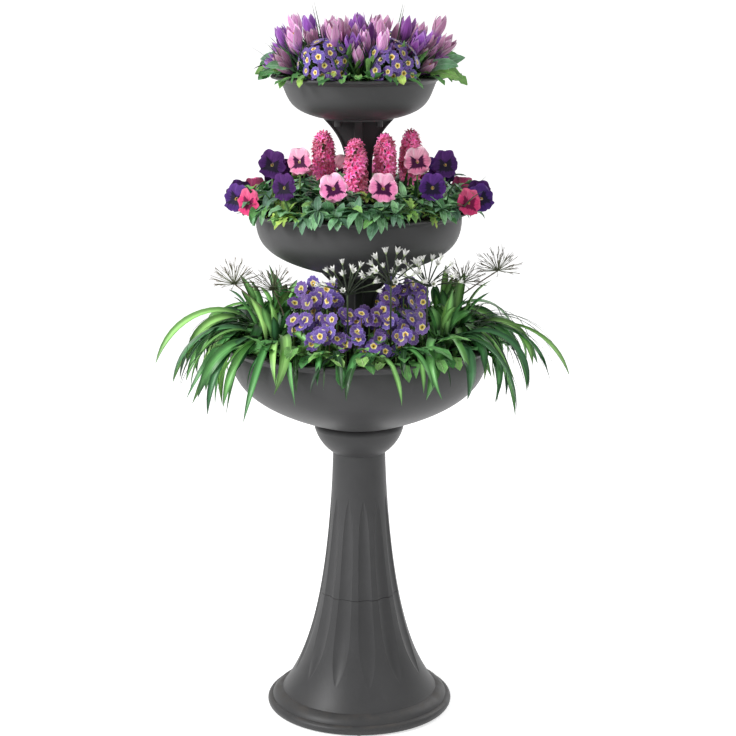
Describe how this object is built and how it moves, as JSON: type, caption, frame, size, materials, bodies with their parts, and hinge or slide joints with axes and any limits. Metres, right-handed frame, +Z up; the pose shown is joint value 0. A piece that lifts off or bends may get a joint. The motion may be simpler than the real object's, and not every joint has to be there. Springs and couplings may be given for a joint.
{
  "type": "tiered planter",
  "caption": "Free-standing tiered garden planter: a fluted pedestal carries round bowls on finned stems, planted with flowers and leaves.",
  "frame": {"origin": "centre of the pedestal's foot, on the ground", "axes": "+Z up along the pedestal's axis, -Y towards the front"},
  "size_m": [0.712, 0.5596, 1.2554],
  "materials": {
    "anthracite_plastic": "satin moulded plastic with a fine grain",
    "black_rubber": "matte",
    "zinc_steel": "zinc plated",
    "soil": "damp potting soil",
    "leaf": "fresh leaf",
    "strap_leaf": "smooth strap leaf",
    "primrose": "petal",
    "white_petal": "petal",
    "seed_stalk": "dry stalk",
    "hyacinth": "petal",
    "pansy_purple": "petal",
    "pansy_pink": "petal",
    "pansy_magenta": "petal",
    "crocus_lilac": "petal",
    "crocus_purple": "petal"
  },
  "bodies": {
    "pedestal": {"base_skirt": "anthracite_plastic", "foot_pads": "black_rubber"},
    "column": {"column_upper": "anthracite_plastic"},
    "bottom_tier": {"capital_cup": "anthracite_plastic", "large_bowl": "anthracite_plastic", "large_bowl_screws": "zinc_steel", "large_bowl_washers": "black_rubber", "large_soil": "soil", "large_leaf_bed": "leaf", "strap_clump_left": "strap_leaf", "strap_clump_right": "strap_leaf", "large_primroses": "primrose", "white_umbels": "white_petal", "seed_heads": "seed_stalk"},
    "middle_tier": {"lower_stem": "anthracite_plastic", "medium_bowl": "anthracite_plastic", "medium_bowl_screws": "zinc_steel", "medium_bowl_washers": "black_rubber", "medium_soil": "soil", "medium_leaf_bed": "leaf", "hyacinths": "hyacinth", "purple_pansies": "pansy_purple", "pink_pansies": "pansy_pink", "magenta_pansies": "pansy_magenta"},
    "top_tier": {"upper_stem": "anthracite_plastic", "small_bowl": "anthracite_plastic", "small_bowl_screws": "zinc_steel", "small_bowl_washers": "black_rubber", "small_soil": "soil", "small_leaf_bed": "leaf", "lilac_crocuses": "crocus_lilac", "purple_crocuses": "crocus_purple", "small_primroses": "primrose"},
    "large_plug": {"large_drain_plug": "black_rubber"},
    "medium_plug": {"medium_drain_plug": "black_rubber"},
    "small_plug": {"small_drain_plug": "black_rubber"}
  },
  "joints": [
    {"name": "column_lift", "type": "slide", "parent": "pedestal", "child": "column", "axis": [0, 0, 1], "range_m": [0, 0.05]},
    {"name": "bottom_bowl_lift", "type": "slide", "parent": "column", "child": "bottom_tier", "axis": [0, 0, 1], "range_m": [0, 0.06]},
    {"name": "middle_tier_lift", "type": "slide", "parent": "bottom_tier", "child": "middle_tier", "axis": [0, 0, 1], "range_m": [0, 0.18]},
    {"name": "top_tier_lift", "type": "slide", "parent": "middle_tier", "child": "top_tier", "axis": [0, 0, 1], "range_m": [0, 0.14]},
    {"name": "large_plug_pull", "type": "slide", "parent": "bottom_tier", "child": "large_plug", "axis": [0, 0, -1], "range_m": [0, 0.025]},
    {"name": "medium_plug_pull", "type": "slide", "parent": "middle_tier", "child": "medium_plug", "axis": [0, 0, -1], "range_m": [0, 0.025]},
    {"name": "small_plug_pull", "type": "slide", "parent": "top_tier", "child": "small_plug", "axis": [0, 0, -1], "range_m": [0, 0.025]}
  ]
}
